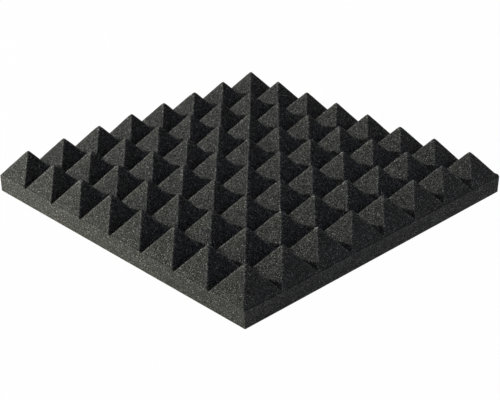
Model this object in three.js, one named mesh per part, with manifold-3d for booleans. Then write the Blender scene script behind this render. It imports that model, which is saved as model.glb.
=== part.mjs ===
// Acoustic foam panel: a square tile of open-cell foam whose front is a field of pyramids.
// Its back carries an adhesive film, covered by a release liner that peels off before the
// panel is glued to a wall. It lies on its back with the pyramids up.
// Units are millimetres. +Z is the panel's outward normal, X and Y run along its edges, and
// the origin is the centre of its underside.

import * as THREE from "three";
import { mergeVertices } from "three/addons/utils/BufferGeometryUtils.js";
import Module from "manifold-3d";

const wasm = await Module();
wasm.setup();

// Driving dimensions of the foam tile.
const tileSide = 500; // edge of the square tile
const pyramidsPerSide = 8;
const baseThickness = 25; // solid foam behind the valleys
const pyramidHeight = 35; // from a valley to a blunt tip
const crestRadius = 2; // the blade's turn over each crest, which blunts the tips
const crestSegments = 2; // facets on each half of a crest's arc

// Driving dimensions of the self-adhesive back.
const filmThickness = 0.125; // acrylic adhesive on both faces of a tissue carrier
const filmMargin = 1; // bare foam between the film and the tile's edge
const linerThickness = 0.125; // silicone-coated paper
const linerOverhang = 0.5; // how far the liner passes the film, so that a nail can catch it

// The pieces lie on each other, the liner lowest.
const filmBottom = linerThickness;
const tileBottom = filmBottom + filmThickness;

// Merges a closed geometry's shared corners and gives it to manifold-3d as a solid.
function solidOf(geometry) {
  geometry.deleteAttribute("normal");
  geometry.deleteAttribute("uv");
  const merged = mergeVertices(geometry);
  return new wasm.Manifold(
    new wasm.Mesh({
      numProp: 3,
      vertProperties: merged.attributes.position.array,
      triVerts: new Uint32Array(merged.index.array),
    }),
  );
}

// Turns a manifold-3d solid back into a flat-shaded three.js geometry.
function geometryOf(solid) {
  const { numProp, vertProperties, triVerts } = solid.getMesh();
  const indexed = new THREE.BufferGeometry();
  const corners = new THREE.InterleavedBuffer(vertProperties, numProp);
  indexed.setAttribute(
    "position",
    new THREE.InterleavedBufferAttribute(corners, 3, 0),
  );
  indexed.setIndex(new THREE.BufferAttribute(triVerts, 1));
  const geometry = indexed.toNonIndexed();
  geometry.computeVertexNormals();
  return geometry;
}

// The path that a contour blade cuts across the tile: a flat back, two square edges, and a
// row of ridges with straight flanks, sharp valleys and crests of crestRadius. x runs across
// the tile and y up from its back.
function ridgeProfile() {
  const pitch = tileSide / pyramidsPerSide;
  const halfPitch = pitch / 2;
  const crestCentre = baseThickness + pyramidHeight - crestRadius;

  // Each flank rises from its valley and is tangent to the crest's circle.
  const rise = crestCentre - baseThickness;
  const toCentre = Math.hypot(halfPitch, rise);
  const flankAngle =
    Math.atan2(rise, halfPitch) + Math.asin(crestRadius / toCentre);
  const arcStart = Math.PI / 2 + flankAngle;
  const arcEnd = Math.PI / 2 - flankAngle;

  const profile = new THREE.Shape();
  profile.moveTo(-tileSide / 2, 0);
  profile.lineTo(-tileSide / 2, baseThickness);
  for (let ridge = 0; ridge < pyramidsPerSide; ridge++) {
    const crest = -tileSide / 2 + halfPitch + ridge * pitch;
    profile.absarc(crest, crestCentre, crestRadius, arcStart, arcEnd, true);
    profile.lineTo(crest + halfPitch, baseThickness);
  }
  profile.lineTo(tileSide / 2, 0);
  profile.closePath();
  return profile;
}

// A slab with its ridges running along Y, as the first pass of the blade leaves it.
function ridgedSlab() {
  const slab = new THREE.ExtrudeGeometry(ridgeProfile(), {
    depth: tileSide,
    bevelEnabled: false,
    curveSegments: crestSegments,
  });
  slab.rotateX(Math.PI / 2);
  slab.translate(0, tileSide / 2, 0);
  return slab;
}

// The second pass cuts the same path with the slab turned a quarter, and what both passes
// leave is the field of pyramids, in one piece with its base.
function foamTile() {
  const firstPass = solidOf(ridgedSlab());
  const secondPass = solidOf(ridgedSlab().rotateZ(Math.PI / 2));
  return geometryOf(firstPass.intersect(secondPass));
}

// A square sheet whose underside is at z = 0.
function sheet(side, thickness) {
  return new THREE.BoxGeometry(side, side, thickness).translate(
    0,
    0,
    thickness / 2,
  );
}

function piece(name, geometry, material, bottom) {
  const mesh = new THREE.Mesh(geometry, material);
  mesh.name = name;
  mesh.position.z = bottom;
  return mesh;
}

const foam = new THREE.MeshStandardMaterial({
  color: 0x3c3d3d,
  roughness: 1,
  metalness: 0,
});
const adhesive = new THREE.MeshStandardMaterial({
  color: 0xe9e4d2,
  roughness: 0.35,
  metalness: 0,
});
const linerPaper = new THREE.MeshStandardMaterial({
  color: 0xf1ecdc,
  roughness: 0.45,
  metalness: 0,
});

const filmSide = tileSide - 2 * filmMargin;
const linerSide = filmSide + 2 * linerOverhang;

// The foam and the film stay together for good.
const tile = new THREE.Group();
tile.add(piece("foam_tile", foamTile(), foam, tileBottom));
tile.add(
  piece("adhesive_film", sheet(filmSide, filmThickness), adhesive, filmBottom),
);

// The liner peels off by itself.
const liner = new THREE.Group();
liner.add(
  piece("release_liner", sheet(linerSide, linerThickness), linerPaper, 0),
);

const panel = new THREE.Group();
panel.add(tile, liner);

export default panel;
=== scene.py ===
# Looks, camera and light for an acoustic foam panel: a square tile of charcoal foam whose front
# is cut into pyramids, with an adhesive film and a paper release liner on its back.
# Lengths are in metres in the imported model's own frame.

import math

import bpy
import numpy as np
from mathutils import Matrix, Vector, noise


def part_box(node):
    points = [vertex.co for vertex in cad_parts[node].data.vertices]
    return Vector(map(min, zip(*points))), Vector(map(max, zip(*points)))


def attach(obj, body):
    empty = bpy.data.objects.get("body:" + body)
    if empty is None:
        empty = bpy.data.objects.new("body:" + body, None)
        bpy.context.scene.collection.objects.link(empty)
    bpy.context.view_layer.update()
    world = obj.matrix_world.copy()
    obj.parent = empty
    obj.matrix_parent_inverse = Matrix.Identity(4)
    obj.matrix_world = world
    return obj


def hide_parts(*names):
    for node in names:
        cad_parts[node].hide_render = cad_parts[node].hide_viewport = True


MM = 0.001

# The foam's cut, as the contour blade leaves it. The tile's outline comes from the frame.
PYRAMIDS_PER_SIDE = 8
COLUMN_FLOOR = 23.3 * MM  # from the underside to the valleys that run along Y
ROW_FLOOR = 25 * MM  # and to those that run along X
CREST_HEIGHT = 64.6 * MM  # and to where a pyramid's faces would meet if it weren't blunted
CUT_SHIFT = -1.1 * MM  # how far the cut lies off the tile's middle, along Y
CREST_BLUNTING = 1.35 * MM  # half the width over which a crest turns
BLUNTING_RANGE = (0.6, 1.4)  # from the sharpest pyramid's share of it to the bluntest one's
VALLEY_BLUNTING = 0.3 * MM  # half the width over which a valley turns
ARRIS_BLUNTING = 1.6 * MM  # height over which two faces of a pyramid run into each other
GROOVE_REACH = 0.75 * MM  # from the front's edge to the middle of the groove along it
GROOVE_DEPTH = 0.6 * MM
LIP_RISE = 0.4 * MM  # how far the edge stands up beside it
EDGE_RADIUS = 0.8 * MM  # of the sawn outline's edges
RIM_WIDTH = 2 * EDGE_RADIUS  # of the faces round the flat one of the underside
TIP_LEAN = 0.8 * MM  # how far a tip stands off its axis at most, along X and along Y
TIP_SPREAD = 0.35 * MM  # how far its height differs at most

# How finely the foam is drawn, in cells of its grid.
CELLS_PER_FLANK = 15
CROWDING = 0.55  # share of a middle cell that crests and valleys draw in for themselves
SHORTEST_CELL = 0.3 * MM
WALL_ROWS = 14

# The leads of one flank over the other at which cells are cut: on an arris, and where its
# blunting ends on both sides.
ARRIS_LEADS = (-ARRIS_BLUNTING, 0.0, ARRIS_BLUNTING)
LEAD_SLACK = 0.03 * MM  # how far off one of these a lead may be and still count as it

# The foam's own unevenness.
WAVE_SIZE = 17 * MM
WAVE_HEIGHT = 0.22 * MM
ROUGH_SIZE = 3.4 * MM
ROUGH_HEIGHT = 0.12 * MM
SEED = 7

# The photograph's camera, fitted to the tile's outline and its tips.
VIEW_AZIMUTH = 45.797
VIEW_ELEVATION = 27.29
VIEW_ROLL = -0.219
VIEW_TARGET = Vector((20.67 * MM, -18.29 * MM, 0.25 * MM))
VIEW_DISTANCE = 1617.1 * MM
SENSOR_WIDTH_MM = 36.0
LENS_MM = 82.93

# The light, each one given by its azimuth and elevation in degrees, distance, diameter, colour
# and strength. A strength of 1 is the light under which a face turned to it renders as its
# colour is written.
WARM = (1.0, 1.0, 0.96)
YELLOW = (1.0, 1.0, 0.8)
AMBER = (1.1, 1.0, 0.7)
COOL = (0.95, 1.0, 1.25)
LIGHTS = {
    "lamp": (-41.0, 27.5, 2.0, 200 * MM, WARM, 0.69),
    "left_board": (-90.0, 30.0, 2.0, 800 * MM, WARM, 0.18),
    "front_board": (-20.0, 8.0, 1.2, 400 * MM, YELLOW, 0.22),
    "right_board": (90.0, 30.0, 2.0, 800 * MM, COOL, 0.057),
    "back_board": (135.0, 30.0, 2.0, 800 * MM, COOL, 0.052),
    "low_board": (135.0, 8.0, 2.0, 800 * MM, AMBER, 0.06),
}
ROOM_COLOUR = (0.95, 1.0, 1.2, 1.0)
ROOM_STRENGTH = 0.002
FLOOR_SIZE = 12.0
FLOOR_DROP = 0.05 * MM  # how far under the liner it lies, so that the two aren't in one plane
FLOOR_COLOUR = (0.8, 0.8, 0.8, 1.0)
FLOOR_WHITENING = 0.987  # how much of the floor is plain white to the camera
WHITE = (1.0, 1.0, 1.0, 1.0)

# Shader nodes.
PLAIN_SPECULAR = 0.5  # the specular level of a surface that nothing else is said of
COLOUR_MIX = {"factor": 0, "a": 6, "b": 7, "result": 2}  # the sockets of a Mix node for colours


class Value:
    """A shader socket, with the maths of numbers, so that shader maths reads as arithmetic."""

    def __init__(self, shader, socket):
        self.shader = shader
        self.socket = socket

    def maths(self, operation, *values):
        return self.shader.node("ShaderNodeMath", {"operation": operation}, values)

    def __add__(self, other):
        return self.maths("ADD", self, other)

    def __radd__(self, other):
        return self.maths("ADD", other, self)

    def __sub__(self, other):
        return self.maths("SUBTRACT", self, other)

    def __rsub__(self, other):
        return self.maths("SUBTRACT", other, self)

    def __mul__(self, other):
        return self.maths("MULTIPLY", self, other)

    def __rmul__(self, other):
        return self.maths("MULTIPLY", other, self)

    def __truediv__(self, other):
        return self.maths("DIVIDE", self, other)

    def __pow__(self, other):
        return self.maths("POWER", self, other)

    def most(self, other):
        return self.maths("MAXIMUM", self, other)

    def rise(self, start, end):
        """0 up to start, 1 from end on, and a smooth rise between them."""
        settings = {"interpolation_type": "SMOOTHSTEP"}
        return self.shader.node("ShaderNodeMapRange", settings, (self, start, end))

    def band(self, start, full, fading, end):
        """A smooth rise from start to full, and a smooth fall from fading to end."""
        return self.rise(start, full) - self.rise(fading, end)


class Shader:
    """A node tree in the making. Every node but those of plain maths comes from node()."""

    def __init__(self, tree):
        self.tree = tree
        tree.nodes.clear()

    def node(self, kind, settings=None, inputs=(), output=0):
        """Adds a node, sets it up, feeds its sockets in order or by name, and gives an output."""
        made = self.tree.nodes.new(kind)
        for name, value in (settings or {}).items():
            setattr(made, name, value)
        pairs = inputs.items() if isinstance(inputs, dict) else enumerate(inputs)
        for key, value in pairs:
            if isinstance(value, Value):
                self.tree.links.new(value.socket, made.inputs[key])
            else:
                made.inputs[key].default_value = value
        return Value(self, made.outputs[output]) if made.outputs else None

    def toned(self, colour, tone):
        """The colour, multiplied by a number that changes over the surface."""
        settings = {"data_type": "RGBA", "blend_type": "MULTIPLY"}
        inputs = {COLOUR_MIX["factor"]: 1.0, COLOUR_MIX["a"]: colour, COLOUR_MIX["b"]: tone}
        return self.node("ShaderNodeMix", settings, inputs, COLOUR_MIX["result"])

    def place(self):
        return self.node("ShaderNodeTexCoord", output="Object")

    def noise(self, place, size, detail=2.0, roughness=0.5):
        inputs = {"Vector": place, "Scale": 1 / size, "Detail": detail, "Roughness": roughness}
        return self.node("ShaderNodeTexNoise", inputs=inputs)

    def cells(self, place, size):
        """How far off its cell's middle a point is, in cell sizes."""
        inputs = {"Vector": place, "Scale": 1 / size}
        return self.node("ShaderNodeTexVoronoi", None, inputs, "Distance")

    def lots(self, place, size):
        """A number from 0 to 1 that each cell draws for itself."""
        inputs = {"Vector": place, "Scale": 1 / size}
        colour = self.node("ShaderNodeTexVoronoi", None, inputs, "Color")
        return self.axes(colour, "X")[0]

    def bend(self, place, size, reach):
        """The place, carried about by up to reach, so that no line drawn there runs straight."""
        inputs = {"Vector": place, "Scale": 1 / size, "Detail": 2.0}
        drift = self.node("ShaderNodeTexNoise", None, inputs, "Color")
        settings = {"operation": "MULTIPLY_ADD"}
        return self.node("ShaderNodeVectorMath", settings, (drift, (reach,) * 3, place))

    def attribute(self, name):
        return self.node("ShaderNodeAttribute", {"attribute_name": name}, output="Vector")

    def vector(self, x, y, z):
        return self.node("ShaderNodeCombineXYZ", inputs=(x, y, z))

    def axes(self, vector, names="XYZ"):
        return [self.node("ShaderNodeSeparateXYZ", None, (vector,), name) for name in names]

    def shine(self, colour, tone, roughness, height, depth, relief, specular=PLAIN_SPECULAR):
        """The Principled shader and the surface output. tone multiplies the colour, height times
        depth is the height of the surface, and relief is how strongly that shows."""
        bump = {"Strength": relief, "Distance": depth, "Height": height}
        sockets = {
            "Base Color": self.toned(colour, tone),
            "Roughness": roughness,
            "Normal": self.node("ShaderNodeBump", inputs=bump),
            "Specular IOR Level": specular,
        }
        surface = self.node("ShaderNodeBsdfPrincipled", inputs=sockets)
        self.node("ShaderNodeOutputMaterial", inputs={"Surface": surface})


def new_material(name):
    material = bpy.data.materials.new(name)
    material.use_nodes = True
    return material, Shader(material.node_tree)


# Materials

SAWN_COLOUR = (0.0865, 0.0876, 0.0825, 1.0)
SAWN_CONTRAST = 1.38
SAWN_RELIEF = 0.8
CUT_COLOUR = (0.0513, 0.0519, 0.0502, 1.0)
CUT_CONTRAST = 1.6
CUT_RELIEF = 0.2
FOAM_SPECULAR = 0.1
FOAM_ROUGHNESS = 0.95

# The foam's cells. Their tones are given as shares of the foam's own.
CELL_SIZE = 0.72 * MM
STRUT_SIZE = 0.42 * MM
CELL_BEND = 0.4 * MM
PORE_TONE = 0.8  # of the shallowest pore, over the deepest one
RIM_START = 0.1  # where the rim round a pore starts, in cell sizes from its middle
RIM_END = 0.65  # and from where on it is palest
RIM_TONE = 0.6
# Painted highlights: a few rims and struts are made far paler, standing in for their glints.
PAINTED_RIM_GLINT_TONE = 10
RIM_GLINT_RARITY = 60  # the higher, the fewer rims get a painted glint
STRUT_TONE = 0.3
PAINTED_GLINT_TONE = 6
GLINT_RARITY = 18
SHINE_RARITY = 8
STRUT_SHINE = 0.1  # how much less rough the struts that shine most are
MEAN_TONE = 1.16  # what all these tones come to on average
DARKEST_TONE = 0.1
CELL_DEPTH = 0.35 * MM
PORE_HEIGHT = 0.7  # the heights in the relief, as shares of that depth
RIM_HEIGHT = 0.6
STRUT_HEIGHT = 0.3

# Where the foam looks paler or darker, and by which share of its own tone: a slow mottle, a calmer
# grain near the edge, and painted light and shade.
MOTTLE_SIZE = 45 * MM
MOTTLE_SPAN = 0.1
SOFT_LIGHT_WIDTH = 32 * MM  # of the calmer grain painted next to the tile's edge, for the softer light there
SOFT_LIGHT_CONTRAST = 0.85
ARRIS_WIDTH = 3.8 * MM  # of the painted pale line where two faces meet
ARRIS_FADE = 5 * MM  # over which it fades in, from the valleys up
ARRIS_GLOW_GAIN = 0.82
ARRIS_REACH = 6.5 * MM  # of the painted paler foam on both sides of it
NEAR_ARRIS_GLOW_GAIN = 0.14
LIP_HEIGHT = 4 * MM  # of the painted paler foam along a wall's top
LIP_FULL = 1.6 * MM  # from how far below the top it is at its palest
LIP_END = 0.3 * MM  # how far inside the edge it ends
LIP_GLOW_GAIN = 0.14
GROOVE_START = 0.1 * MM  # how far inside the edge the painted shade of the groove starts
GROOVE_END = 2 * GROOVE_REACH
GROOVE_SHADE_LOSS = 0.34
LEDGE_END = 6 * GROOVE_REACH  # how far the painted light on the foam inside the groove goes
LEDGE_LIGHT_GAIN = 0.16
HOLLOW_TOP = 55 * MM  # up to which the painted light that the faces of the hollows throw on each other reaches
HOLLOW_BOUNCE_GAIN = 0.11
TIP_START = 54 * MM  # where the painted light on a tip starts
TIP_END = 60 * MM  # and from where on it is palest
TIP_GLOW_GAIN = 0.18


def foam_material(name, foam_colour, contrast, relief):
    """Open-cell foam, with light and shade painted into its colour. contrast is how much its
    opened cells differ, and relief how rough they leave it."""
    material, shader = new_material(name)
    place = shader.place()
    bent = shader.bend(place, CELL_SIZE, CELL_BEND)
    off_arris, inside_edge, level = shader.axes(shader.attribute("cut_marks"))

    # An opened cell is a dark pore in a paler rim. A few rims and struts are painted far paler, as
    # painted highlights of their glints.
    shallow = shader.lots(bent, CELL_SIZE)
    rim = shader.cells(bent, CELL_SIZE).rise(RIM_START, RIM_END)
    glint = shader.lots(bent, STRUT_SIZE)
    rim_glint = PAINTED_RIM_GLINT_TONE * shallow**RIM_GLINT_RARITY
    cells = PORE_TONE * shallow**2 + rim * (RIM_TONE + rim_glint)
    struts = STRUT_TONE * glint + PAINTED_GLINT_TONE * glint**GLINT_RARITY

    # The grain is painted calmer on the outermost faces, standing in for the softer light that
    # falls on them, and on the walls as well.
    hard_lit = inside_edge.rise(SOFT_LIGHT_WIDTH / 2, SOFT_LIGHT_WIDTH)
    sharpness = contrast * (SOFT_LIGHT_CONTRAST + (1 - SOFT_LIGHT_CONTRAST) * hard_lit)
    grain = 1 + sharpness * (cells + struts - MEAN_TONE)

    # Slow differences in the block's density.
    mottle = 1 + MOTTLE_SPAN * (shader.noise(place, MOTTLE_SIZE, detail=3.0) - 0.5)

    # Painted light and shade: the colour is painted paler where two faces meet, at the tips and
    # along a wall's top, for the light that gets through thin foam there, and paler low in the
    # hollows and just inside the groove, for the light that the faces throw on each other. The
    # groove next to the edge is painted darker, for the shade in it.
    arris = (1 - off_arris.rise(0.0, ARRIS_WIDTH)) * level.rise(ROW_FLOOR, ROW_FLOOR + ARRIS_FADE)
    near_arris = 1 - off_arris.rise(0.0, ARRIS_REACH)
    lip = inside_edge.band(-LIP_HEIGHT, -LIP_FULL, 0.0, LIP_END)
    groove = inside_edge.band(GROOVE_START, GROOVE_REACH, GROOVE_REACH, GROOVE_END)
    ledge = inside_edge.band(GROOVE_REACH, GROOVE_END, GROOVE_END, LEDGE_END)
    hollow = inside_edge.rise(0.0, GROOVE_REACH) - level.rise(ROW_FLOOR, HOLLOW_TOP)
    tip = level.rise(TIP_START, TIP_END)
    paler = 1 + ARRIS_GLOW_GAIN * arris + NEAR_ARRIS_GLOW_GAIN * near_arris + LIP_GLOW_GAIN * lip
    paler = paler + LEDGE_LIGHT_GAIN * ledge + HOLLOW_BOUNCE_GAIN * hollow + TIP_GLOW_GAIN * tip
    paler = paler - GROOVE_SHADE_LOSS * groove

    shader.shine(
        foam_colour,
        tone=mottle * grain.most(DARKEST_TONE) * paler,
        roughness=FOAM_ROUGHNESS - STRUT_SHINE * glint**SHINE_RARITY,
        height=PORE_HEIGHT * shallow + RIM_HEIGHT * rim + STRUT_HEIGHT * glint,
        depth=CELL_DEPTH,
        relief=relief,
        specular=FOAM_SPECULAR,
    )
    return material


# The patterns of the sheets. Each sheet gives their shares of its tone, roughness and relief.
FIBRE_SIZE = 1.4 * MM
FIBRE_STRETCH = 6.0
CLOUD_SIZE = 8 * MM
LIFT_SIZE = 3 * MM
PATCH_SIZE = 12 * MM
BUCKLE_SIZE = 60 * MM
BUCKLE_HEIGHT = 0.3
SHEET_DEPTH = 1 * MM  # what a height of 1 is in a sheet's relief

PAPER_COLOUR = (0.83, 0.79, 0.68, 1.0)
PAPER_TONE = 0.8
PAPER_FIBRE_TONE = 0.24
PAPER_CLOUD_TONE = 0.12
PAPER_FIBRE_HEIGHT = 0.03
PAPER_ROUGHNESS = 0.6
PAPER_CLOUD_ROUGHNESS = 0.15
PAPER_RELIEF = 0.6

SILICONE_COLOUR = (0.78, 0.75, 0.66, 1.0)
SILICONE_TONE = 0.9
SILICONE_FIBRE_TONE = 0.12
SILICONE_FIBRE_HEIGHT = 0.01
SILICONE_LIFT_HEIGHT = 0.02
SILICONE_ROUGHNESS = 0.22
SILICONE_LIFT_ROUGHNESS = 0.2
SILICONE_RELIEF = 0.6

TISSUE_COLOUR = (0.6, 0.58, 0.52, 1.0)
TISSUE_TONE = 0.7
TISSUE_FIBRE_TONE = 0.35
TISSUE_PATCH_TONE = 0.25
TISSUE_FIBRE_HEIGHT = 0.06
TISSUE_ROUGHNESS = 0.12
TISSUE_PATCH_ROUGHNESS = 0.25
TISSUE_RELIEF = 0.5
SHOW_THROUGH = 0.45  # how much darker the rim of a cell of the foam behind makes the tissue
SHOW_START = 0.25  # where that starts, in cell sizes from the cell's middle
SHOW_END = 0.7
SINKING_HEIGHT = 0.1  # how far the tissue sinks in where it sticks to that rim
SINKING_START = 0.2
SINKING_END = 0.8


def fibres(shader, place, size):
    """Fine fibres that lie at all angles: two stretched noises, one across the other."""
    across, along, up = shader.axes(place)
    tones = []
    for stretch in ((1.0, FIBRE_STRETCH), (FIBRE_STRETCH, 1.0)):
        axes = (across / stretch[0], along / stretch[1], up)
        tones.append(shader.noise(shader.vector(*axes), size, detail=5.0, roughness=0.65))
    return tones[0].most(tones[1])


def paper_material():
    """The liner's outer face, of plain calendered paper that has buckled a little."""
    material, shader = new_material("liner_paper")
    place = shader.place()
    fibre = fibres(shader, place, FIBRE_SIZE)
    cloud = shader.noise(place, CLOUD_SIZE, detail=4.0)
    buckle = shader.noise(place, BUCKLE_SIZE)
    shader.shine(
        PAPER_COLOUR,
        tone=PAPER_TONE + PAPER_FIBRE_TONE * fibre + PAPER_CLOUD_TONE * cloud,
        roughness=PAPER_ROUGHNESS + PAPER_CLOUD_ROUGHNESS * cloud,
        height=PAPER_FIBRE_HEIGHT * fibre + BUCKLE_HEIGHT * buckle,
        depth=SHEET_DEPTH,
        relief=PAPER_RELIEF,
    )
    return material


def silicone_material():
    """The liner's inner face, with the silicone that lets go of the adhesive."""
    material, shader = new_material("silicone_coat")
    place = shader.place()
    fibre = fibres(shader, place, FIBRE_SIZE)
    lift = shader.noise(place, LIFT_SIZE, detail=4.0)
    buckle = shader.noise(place, BUCKLE_SIZE)
    height = SILICONE_FIBRE_HEIGHT * fibre + SILICONE_LIFT_HEIGHT * lift + BUCKLE_HEIGHT * buckle
    shader.shine(
        SILICONE_COLOUR,
        tone=SILICONE_TONE + SILICONE_FIBRE_TONE * fibre,
        roughness=SILICONE_ROUGHNESS + SILICONE_LIFT_ROUGHNESS * lift,
        height=height,
        depth=SHEET_DEPTH,
        relief=SILICONE_RELIEF,
    )
    return material


def adhesive_material():
    """Tacky acrylic on a tissue, thin enough for the foam's cells to show through."""
    material, shader = new_material("tissue_adhesive")
    place = shader.place()
    fibre = fibres(shader, place, 2 * FIBRE_SIZE)
    cell = shader.cells(place, CELL_SIZE)
    patch = shader.noise(place, PATCH_SIZE, detail=4.0)
    backing = 1 - SHOW_THROUGH * cell.rise(SHOW_START, SHOW_END)
    sinking = cell.rise(SINKING_START, SINKING_END)
    shader.shine(
        TISSUE_COLOUR,
        tone=backing * (TISSUE_TONE + TISSUE_FIBRE_TONE * fibre + TISSUE_PATCH_TONE * patch),
        roughness=TISSUE_ROUGHNESS + TISSUE_PATCH_ROUGHNESS * patch,
        height=TISSUE_FIBRE_HEIGHT * fibre - SINKING_HEIGHT * sinking,
        depth=SHEET_DEPTH,
        relief=TISSUE_RELIEF,
    )
    return material


# Foam

def crowded(steps):
    """Places from 0 to 1 in that many steps, close together at both ends."""
    even = np.linspace(0, 1, steps + 1)
    return even - CROWDING * np.sin(2 * np.pi * even) / (2 * np.pi)


def grid_lines(side, shift, spacing):
    """Where the foam's grid lines cross one side of the tile: at its edges and the groove beside
    them, and spaced out from the crests, so that those of both directions cross on the arrises."""
    pitch = side / PYRAMIDS_PER_SIDE
    from_crest = (1 - crowded(CELLS_PER_FLANK)) * spacing
    from_crest = np.append(from_crest[from_crest < 1 - SHORTEST_CELL / pitch], 1)
    flank = from_crest * pitch / 2
    crests = (np.arange(-1, PYRAMIDS_PER_SIDE + 1) + 0.5) * pitch - side / 2 + shift
    lines = np.unique(np.concatenate([crests[:, None] - flank, crests[:, None] + flank]).round(9))
    edge = side / 2 - GROOVE_REACH * np.arange(3)
    inside = lines[np.abs(lines) < edge[-1] - SHORTEST_CELL]
    return np.concatenate([-edge, inside, edge[::-1]])


def soft_least(a, b, width):
    """The lower of a and b, turning smoothly from one to the other over width."""
    overlap = np.maximum(width - np.abs(a - b), 0)
    return np.minimum(a, b) - overlap**2 / (4 * np.maximum(width, 1e-9))


def pyramid_heights(x, y, side):
    """Height over the underside at each point of the front, how far the flank across X stands
    over the one across Y there, and how far the tip's lean carries the point."""
    pitch = side / PYRAMIDS_PER_SIDE
    inside_edge = side / 2 - np.maximum(np.abs(x), np.abs(y))
    x, y = x + side / 2, y + side / 2 - CUT_SHIFT
    random = np.random.default_rng(SEED)
    shape = (PYRAMIDS_PER_SIDE + 2, PYRAMIDS_PER_SIDE + 2)
    lean_x, lean_y, spread = random.uniform(-1, 1, (3, *shape))
    blunting = CREST_BLUNTING * random.uniform(*BLUNTING_RANGE, shape)
    column, row = (np.floor(along / pitch).astype(int) + 1 for along in (x, y))

    def flank(along, number, floor):
        blunt = blunting[column, row]
        from_crest = along - (number - 0.5) * pitch
        from_valley = np.hypot(pitch / 2, blunt) - np.hypot(from_crest, blunt)
        slope = (CREST_HEIGHT - floor) / (pitch / 2)
        return floor + slope * np.hypot(from_valley, VALLEY_BLUNTING)

    over_x = flank(x, column, COLUMN_FLOOR)
    over_y = flank(y, row, ROW_FLOOR)
    height = soft_least(over_x, over_y, ARRIS_BLUNTING)
    carried = np.clip((height - ROW_FLOOR) / (CREST_HEIGHT - ROW_FLOOR), 0, 1) ** 2
    height = height + carried * TIP_SPREAD * spread[column, row]
    height = height + np.interp(
        inside_edge / GROOVE_REACH, [0, 1, 2], [LIP_RISE, -GROOVE_DEPTH, 0]
    )
    lean = [carried * TIP_LEAN * lean[column, row] for lean in (lean_x, lean_y)]
    return height, over_x - over_y, np.stack([*lean, np.zeros_like(x)], axis=-1)


def rounded_outline(points, low, high):
    """Turns the sawn edges of the outline and the underside with EDGE_RADIUS."""
    inner_low = low + EDGE_RADIUS
    inner_high = np.array([high[0] - EDGE_RADIUS, high[1] - EDGE_RADIUS, np.inf])
    core = np.clip(points, inner_low, inner_high)
    out = points - core
    reach = np.abs(out).max(axis=1, keepdims=True)
    length = np.linalg.norm(out, axis=1, keepdims=True)
    scale = np.divide(reach, length, out=np.ones_like(reach), where=length > 0)
    return core + out * scale


def arris_crossings(number, lead):
    """Where the arrises and their two borders cross the grid's edges: an edge's ends, the share
    of the way from one to the other, and the lead there."""
    along = [(number[:-1], number[1:]), (number[:, :-1], number[:, 1:])]
    edges = np.concatenate([np.stack(ends, axis=-1).reshape(-1, 2) for ends in along])
    found = []
    for level in ARRIS_LEADS:
        start, end = (lead[edges] - level).T
        crossed = start * end < 0
        share = (start / np.where(crossed, start - end, 1))[crossed]
        found.append(np.column_stack([edges[crossed], share, np.full(len(share), level)]))
    return np.concatenate(found)


def walk(on_edge, points):
    """The points of a ring of grid points and, between them, those that lie on the edges."""
    ring = []
    for start, end in zip(points, points[1:] + points[:1]):
        ahead = sorted(on_edge.get((start, end), []))
        back = sorted(on_edge.get((end, start), []), reverse=True)
        ring += [start] + [point for share, point in ahead + back]
    return ring


def front_cells(number, lead, on_edge):
    """The front's faces. A cell that an arris or one of its borders crosses is cut there."""
    corners = np.stack(
        [number[:-1, :-1], number[1:, :-1], number[1:, 1:], number[:-1, 1:]], axis=-1
    ).reshape(-1, 4)
    lowest, highest = lead[corners].min(axis=1), lead[corners].max(axis=1)
    crossed = np.any([(lowest < level) & (highest > level) for level in ARRIS_LEADS], axis=0)
    faces = corners[~crossed].tolist()
    bounds = [-np.inf, *ARRIS_LEADS, np.inf]
    for cell in corners[crossed].tolist():
        ring = walk(on_edge, cell)
        for low, high in zip(bounds[:-1], bounds[1:]):
            part = [point for point in ring if low <= lead[point] <= high]
            if len(part) > 2:
                faces.append(part)
    return faces


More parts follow.
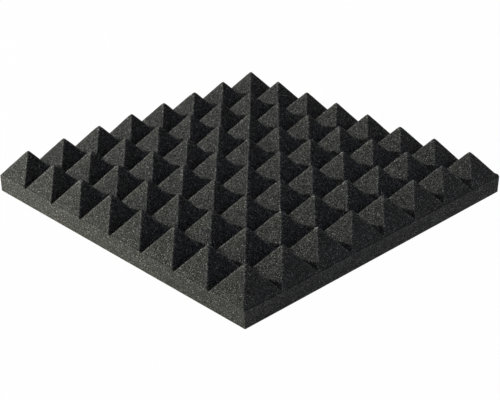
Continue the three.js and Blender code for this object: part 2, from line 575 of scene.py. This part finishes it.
def foam_mesh(name):
    """The tile as one closed mesh: a grid for the front, rows of cells down the walls, and the
    underside as a rim round one flat face."""
    low, high = (np.array(corner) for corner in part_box("foam_tile"))
    side = high[0] - low[0]
    columns = grid_lines(side, 0, 1)
    rows = grid_lines(side, CUT_SHIFT, (CREST_HEIGHT - COLUMN_FLOOR) / (CREST_HEIGHT - ROW_FLOOR))
    number = np.arange(len(columns) * len(rows)).reshape(len(columns), len(rows))

    # The grid's points, and those that the arrises add on its edges.
    plan = np.stack(np.meshgrid(columns, rows, indexing="ij"), axis=-1).reshape(-1, 2)
    lead = pyramid_heights(*plan.T, side)[1]
    for level in ARRIS_LEADS:
        lead[np.abs(lead - level) < LEAD_SLACK] = level
    crossings = arris_crossings(number, lead)
    start, end = crossings[:, :2].astype(int).T
    plan = np.concatenate([plan, plan[start] + crossings[:, 2:3] * (plan[end] - plan[start])])
    lead = np.append(lead, crossings[:, 3])
    on_edge = {}
    for point, (a, b, share) in enumerate(zip(start, end, crossings[:, 2]), start=number.size):
        on_edge.setdefault((a, b), []).append((share, point))
    front_faces = front_cells(number, lead, on_edge)
    height, _, lean = pyramid_heights(*plan.T, side)
    front = np.column_stack([plan, low[2] + height])

    # The front's border, once round, and the rows of the walls below it.
    border = np.concatenate(
        [number[:-1, 0], number[-1, :-1], number[:0:-1, -1], number[0, :0:-1]]
    )
    border = np.array(walk(on_edge, border.tolist()))
    around = len(border)
    wall = np.repeat(front[border][None], WALL_ROWS, axis=0)
    wall[:, :, 2] -= crowded(WALL_ROWS)[1:, None] * height[border]
    rim = wall[-1].copy()
    rim[:, :2] *= 1 - 2 * RIM_WIDTH / side
    below = len(front) + np.arange((WALL_ROWS + 1) * around).reshape(-1, around)
    rings = np.concatenate([border[None], below])
    upper, lower = rings[:-1], rings[1:]
    wall_faces = np.stack(
        [upper, lower, np.roll(lower, -1, axis=1), np.roll(upper, -1, axis=1)], axis=-1
    ).reshape(-1, 4)

    drawn = np.concatenate([front, wall.reshape(-1, 3), rim])
    drawn = rounded_outline(drawn, low, high)
    drawn[: len(front)] += lean

    mesh = bpy.data.meshes.new(name)
    faces = front_faces + wall_faces.tolist() + [rings[-1][::-1].tolist()]
    mesh.from_pydata(drawn.tolist(), [], faces)

    # What the foam's material needs: how far a point is off an arris, how far inside the front's
    # edge or, with a minus, how far below it, and how high. A wall counts as off every arris.
    marks = np.full((len(drawn), 3), ARRIS_REACH)
    marks[: len(front), 0] = np.abs(lead)
    marks[: len(front), 1] = side / 2 - np.abs(plan).max(axis=1)
    marks[len(front) :, 1] = drawn[len(front) :, 2] - np.tile(front[border, 2], WALL_ROWS + 1)
    marks[:, 2] = drawn[:, 2] - low[2]
    attribute = mesh.attributes.new("cut_marks", "FLOAT_VECTOR", "POINT")
    attribute.data.foreach_set("vector", marks.astype(np.float32).ravel())

    slots = np.ones(len(faces), np.int32)
    slots[: len(front_faces)] = 0
    mesh.polygons.foreach_set("material_index", slots)
    roughen(mesh, fixed=np.arange(len(drawn)) >= len(drawn) - 2 * around)
    mesh.polygons.foreach_set("use_smooth", np.ones(len(faces), bool))
    mesh.update()
    return mesh


def roughen(mesh, fixed):
    """Moves the surface in and out along its normals, as cut foam is never quite flat. Points
    that are fixed stay."""
    count = len(mesh.vertices)
    place = np.empty(count * 3)
    normal = np.empty(count * 3)
    mesh.vertices.foreach_get("co", place)
    mesh.vertex_normals.foreach_get("vector", normal)
    place, normal = place.reshape(-1, 3), normal.reshape(-1, 3)
    wave = [noise.noise(Vector(p / WAVE_SIZE)) for p in place]
    rough = [noise.noise(Vector(p / ROUGH_SIZE + SEED)) for p in place]
    out = np.array(wave) * WAVE_HEIGHT + np.array(rough) * ROUGH_HEIGHT
    out[fixed] = 0
    moved = place + normal * out[:, None]
    mesh.vertices.foreach_set("co", moved.ravel())


def foam_panel():
    mesh = foam_mesh("foam_panel")
    cut = foam_material("blade_cut_foam", CUT_COLOUR, CUT_CONTRAST, CUT_RELIEF)
    sawn = foam_material("sawn_foam", SAWN_COLOUR, SAWN_CONTRAST, SAWN_RELIEF)
    mesh.materials.append(cut)
    mesh.materials.append(sawn)
    panel = bpy.data.objects.new("foam_panel", mesh)
    bpy.context.scene.collection.objects.link(panel)
    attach(panel, "tile")
    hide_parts("foam_tile")
    return panel


# Film and liner

SHEET_CORNER = 2 * MM  # radius of a sheet's corners
KNIFE_WANDER = 0.12 * MM  # how far a sheet's cut edge runs inside its outline at most
KNIFE_STEP = 6 * MM
CORNER_STEPS = 6


def sheet_outline(low, high):
    """Points round a square sheet, which a knife has cut with a slightly unsteady edge."""
    points = []
    corners = [(high[0], low[1]), (high[0], high[1]), (low[0], high[1]), (low[0], low[1])]
    inwards = [(-1, 1), (-1, -1), (1, -1), (1, 1)]
    runs = [(0, 1), (-1, 0), (0, -1), (1, 0)]
    straight = high[0] - low[0] - 2 * SHEET_CORNER
    for turn, (corner, inward, run) in enumerate(zip(corners, inwards, runs)):
        middle = np.array(corner) + SHEET_CORNER * np.array(inward)
        start = (turn - 1) * math.pi / 2
        for step in range(CORNER_STEPS + 1):
            angle = start + step / CORNER_STEPS * math.pi / 2
            points.append(middle + SHEET_CORNER * np.array([math.cos(angle), math.sin(angle)]))
        run_start = points[-1]
        for along in np.arange(KNIFE_STEP, straight - KNIFE_STEP, KNIFE_STEP):
            points.append(run_start + along * np.array(run))
    points = np.array(points)
    wander = [0.5 + 0.5 * noise.noise(Vector((*point / WAVE_SIZE, SEED))) for point in points]
    return points * (1 - KNIFE_WANDER * np.array(wander)[:, None] / high[0])


def sheet(name, node, body, outer, inner):
    """A thin sheet in a CAD node's place. outer is the material of its underside and edges."""
    low, high = (np.array(corner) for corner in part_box(node))
    outline = sheet_outline(low, high)
    count = len(outline)
    points = [(x, y, z) for z in (low[2], high[2]) for x, y in outline]
    around = np.arange(count)
    ahead = np.roll(around, -1)
    walls = np.stack([around, ahead, ahead + count, around + count], axis=-1)
    faces = [around[::-1].tolist()] + walls.tolist() + [(around + count).tolist()]
    mesh = bpy.data.meshes.new(name)
    mesh.from_pydata(points, [], faces)
    mesh.materials.append(outer)
    mesh.materials.append(inner)
    mesh.polygons[len(faces) - 1].material_index = 1
    piece = bpy.data.objects.new(name, mesh)
    bpy.context.scene.collection.objects.link(piece)
    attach(piece, body)
    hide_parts(node)
    return piece


# Camera, light and floor

def direction(azimuth, elevation):
    """The unit vector from the tile towards that azimuth, which is 0 at -Y, and elevation."""
    a, e = math.radians(azimuth), math.radians(elevation)
    return Vector((math.sin(a) * math.cos(e), -math.cos(a) * math.cos(e), math.sin(e)))


def place_camera():
    back = direction(VIEW_AZIMUTH, VIEW_ELEVATION)
    right = Vector((0, 0, 1)).cross(back).normalized()
    up = back.cross(right)
    axes = Matrix((right, up, back)).transposed()
    roll = Matrix.Rotation(math.radians(VIEW_ROLL), 3, "Z")
    data = bpy.data.cameras.new("camera")
    data.sensor_width = SENSOR_WIDTH_MM
    data.lens = LENS_MM
    camera = bpy.data.objects.new("camera", data)
    camera.matrix_world = (axes @ roll).to_4x4()
    camera.location = VIEW_TARGET + back * VIEW_DISTANCE
    bpy.context.scene.collection.objects.link(camera)
    bpy.context.scene.camera = camera


def place_light(name, azimuth, elevation, distance, diameter, colour, strength):
    data = bpy.data.lights.new(name, "AREA")
    data.shape = "DISK"
    data.size = diameter
    data.energy = strength * (math.pi * distance) ** 2
    data.color = colour
    light = bpy.data.objects.new(name, data)
    towards = direction(azimuth, elevation)
    light.location = towards * distance
    light.rotation_euler = towards.to_track_quat("Z", "Y").to_euler()
    bpy.context.scene.collection.objects.link(light)


def sees_white(shader):
    """1 for the rays that show the background: the camera's, reflected and transmitted ones."""
    rays = ("Is Camera Ray", "Is Glossy Ray", "Is Transmission Ray")
    camera, glossy, transmitted = [shader.node("ShaderNodeLightPath", output=r) for r in rays]
    return camera.most(glossy).most(transmitted)


def light_room():
    """An even pale room, which the camera sees as white."""
    world = bpy.data.worlds.new("room")
    world.use_nodes = True
    shader = Shader(world.node_tree)
    seen_white = sees_white(shader)
    light = shader.node("ShaderNodeBackground", inputs=(ROOM_COLOUR, ROOM_STRENGTH))
    white = shader.node("ShaderNodeBackground", inputs=(WHITE, 1.0))
    seen = shader.node("ShaderNodeMixShader", inputs=(seen_white, light, white))
    shader.node("ShaderNodeOutputWorld", inputs={"Surface": seen})
    bpy.context.scene.world = world


def lay_floor():
    """A plain pale floor. It lights the tile's sides as it is, and is whiter to the camera."""
    material, shader = new_material("floor")
    pale = shader.node("ShaderNodeBsdfDiffuse", inputs=(FLOOR_COLOUR,))
    white = shader.node("ShaderNodeEmission", inputs=(WHITE, 1.0))
    whitening = sees_white(shader) * FLOOR_WHITENING
    seen = shader.node("ShaderNodeMixShader", inputs=(whitening, pale, white))
    shader.node("ShaderNodeOutputMaterial", inputs={"Surface": seen})
    half = FLOOR_SIZE / 2
    corners = [(-half, -half, 0), (half, -half, 0), (half, half, 0), (-half, half, 0)]
    mesh = bpy.data.meshes.new("floor")
    mesh.from_pydata(corners, [], [(0, 1, 2, 3)])
    mesh.materials.append(material)
    floor = bpy.data.objects.new("floor", mesh)
    floor.location.z = -FLOOR_DROP
    bpy.context.scene.collection.objects.link(floor)


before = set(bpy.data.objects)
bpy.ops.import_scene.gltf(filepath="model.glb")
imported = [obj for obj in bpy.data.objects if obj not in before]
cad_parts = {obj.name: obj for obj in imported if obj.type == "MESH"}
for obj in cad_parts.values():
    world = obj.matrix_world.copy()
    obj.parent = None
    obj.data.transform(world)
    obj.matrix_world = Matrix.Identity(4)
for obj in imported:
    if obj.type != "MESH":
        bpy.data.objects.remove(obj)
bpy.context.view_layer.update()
bpy.context.scene.view_settings.view_transform = "Standard"
place_camera()
for name, light in LIGHTS.items():
    place_light(name, *light)
light_room()
lay_floor()
foam_panel()
adhesive = adhesive_material()
sheet("adhesive_tissue", "adhesive_film", "tile", adhesive, adhesive)
sheet("liner_sheet", "release_liner", "liner", paper_material(), silicone_material())
